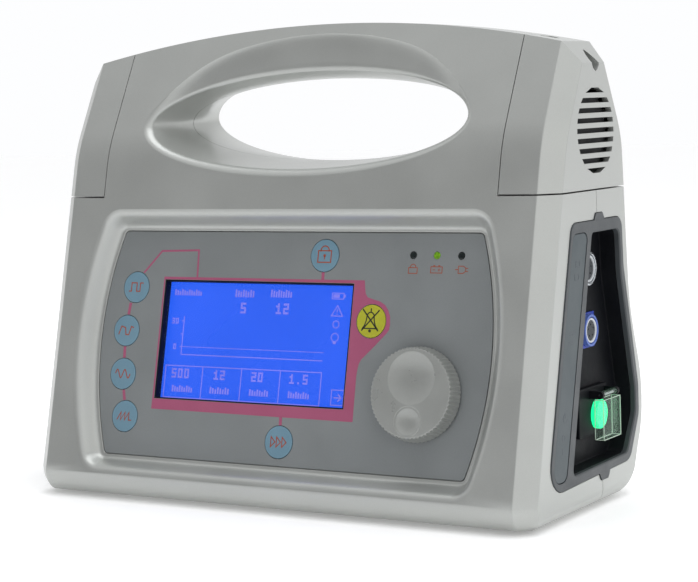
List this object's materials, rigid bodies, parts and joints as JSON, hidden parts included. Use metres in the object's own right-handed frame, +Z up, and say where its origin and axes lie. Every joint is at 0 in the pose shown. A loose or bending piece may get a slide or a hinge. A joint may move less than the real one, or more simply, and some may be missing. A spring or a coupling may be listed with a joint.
{
  "type": "portable lung ventilator",
  "caption": "Portable lung ventilator with an arched carry handle, a recessed panel with keys and a dial, louvred shoulders and a connector bay in each side.",
  "frame": {"origin": "middle of the bounding box footprint, on the floor under the feet", "axes": "+Z up, -Y to the front with the control panel, +X to the side with the electrical connector bay"},
  "size_m": [0.2944, 0.1382, 0.2408],
  "materials": {
    "silver_paint": "satin metallic",
    "panel_grey": "fine matt film",
    "key_blue": "matt film",
    "key_yellow": "matt film",
    "clear_plastic": "clear gloss",
    "lcd_blue": "lit display",
    "lamp_dark": "unlit lens",
    "lamp_green": "lit lens",
    "knob_grey": "satin",
    "charcoal": "satin",
    "bay_black": "satin",
    "label_grey": "printed film",
    "socket_metal": "plated",
    "socket_blue": "moulded",
    "button_green": "lit lens",
    "circuit_green": "solder mask",
    "steel": "plain",
    "aluminium": "machined",
    "brass": "machined",
    "rubber": "matt",
    "hose_clear": "milky",
    "filter_grey": "felt",
    "battery_blue": "shrink film"
  },
  "bodies": {
    "case": {"air_filter": "filter_grey", "alarm_speaker": "charcoal", "battery_cover": "silver_paint", "battery_lamp": "lamp_green", "battery_pack": "battery_blue", "chassis_plate": "aluminium", "data_socket": "socket_metal", "data_socket_insert": "bay_black", "dc_socket": "socket_metal", "dc_socket_insert": "bay_black", "dc_socket_plate": "socket_blue", "encoder_body": "aluminium", "flow_sensor": "hose_clear", "foot_1": "rubber", "foot_2": "rubber", "foot_3": "rubber", "foot_4": "rubber", "front_housing": "silver_paint", "gas_block": "aluminium", "guard_pin": "steel", "housing_screw_1": "steel", "housing_screw_2": "steel", "housing_screw_3": "steel", "housing_screw_4": "steel", "keypad_board": "circuit_green", "lcd_module": "lcd_blue", "lcd_window": "clear_plastic", "left_bay_frame": "charcoal", "left_bay_tub": "bay_black", "left_shoulder_cap": "silver_paint", "lock_lamp": "lamp_dark", "main_board": "circuit_green", "mains_lamp": "lamp_dark", "outlet_coupling": "rubber", "oxygen_inlet": "brass", "panel_overlay": "panel_grey", "patient_outlet": "bay_black", "power_board": "circuit_green", "pressure_port": "socket_metal", "pressure_regulator": "brass", "proportional_valve": "steel", "rear_housing": "silver_paint", "right_bay_frame": "charcoal", "right_bay_tub": "bay_black", "right_label_strip": "label_grey", "right_shoulder_cap": "silver_paint", "safety_valve": "brass", "supply_hose": "rubber", "switch_pod": "bay_black"},
    "mode_key_1": {"mode_key_1": "key_blue"},
    "mode_key_2": {"mode_key_2": "key_blue"},
    "mode_key_3": {"mode_key_3": "key_blue"},
    "mode_key_4": {"mode_key_4": "key_blue"},
    "lock_key": {"lock_key": "key_blue"},
    "confirm_key": {"confirm_key": "key_blue"},
    "alarm_key": {"alarm_key": "key_yellow"},
    "selector": {"selector_knob": "knob_grey", "encoder_shaft": "steel"},
    "power_button": {"power_button": "button_green"},
    "switch_guard": {"switch_guard": "clear_plastic"}
  },
  "joints": [
    {"name": "mode_key_1_press", "type": "slide", "parent": "case", "child": "mode_key_1", "axis": [0, 0.9724, -0.2334], "range_m": [0, 0.0008], "stiffness_N_per_m": 300},
    {"name": "mode_key_2_press", "type": "slide", "parent": "case", "child": "mode_key_2", "axis": [0, 0.9724, -0.2334], "range_m": [0, 0.0008], "stiffness_N_per_m": 300},
    {"name": "mode_key_3_press", "type": "slide", "parent": "case", "child": "mode_key_3", "axis": [0, 0.9724, -0.2334], "range_m": [0, 0.0008], "stiffness_N_per_m": 300},
    {"name": "mode_key_4_press", "type": "slide", "parent": "case", "child": "mode_key_4", "axis": [0, 0.9724, -0.2334], "range_m": [0, 0.0008], "stiffness_N_per_m": 300},
    {"name": "lock_key_press", "type": "slide", "parent": "case", "child": "lock_key", "axis": [0, 0.9724, -0.2334], "range_m": [0, 0.0008], "stiffness_N_per_m": 300},
    {"name": "confirm_key_press", "type": "slide", "parent": "case", "child": "confirm_key", "axis": [0, 0.9724, -0.2334], "range_m": [0, 0.0008], "stiffness_N_per_m": 300},
    {"name": "alarm_key_press", "type": "slide", "parent": "case", "child": "alarm_key", "axis": [0, 0.9724, -0.2334], "range_m": [0, 0.0008], "stiffness_N_per_m": 300},
    {"name": "selector_turn", "type": "hinge", "parent": "case", "child": "selector", "pos_m": [0.079, -0.04855, 0.06054], "axis": [0, -0.9724, 0.2334], "continuous": true},
    {"name": "power_button_press", "type": "slide", "parent": "case", "child": "power_button", "axis": [-1, 0, 0], "range_m": [0, 0.001], "stiffness_N_per_m": 300},
    {"name": "switch_guard_lift", "type": "hinge", "parent": "case", "child": "switch_guard", "pos_m": [0.1442, 0.02432, 0.0542], "axis": [0, -1, 0], "range_deg": [0, 100]}
  ]
}
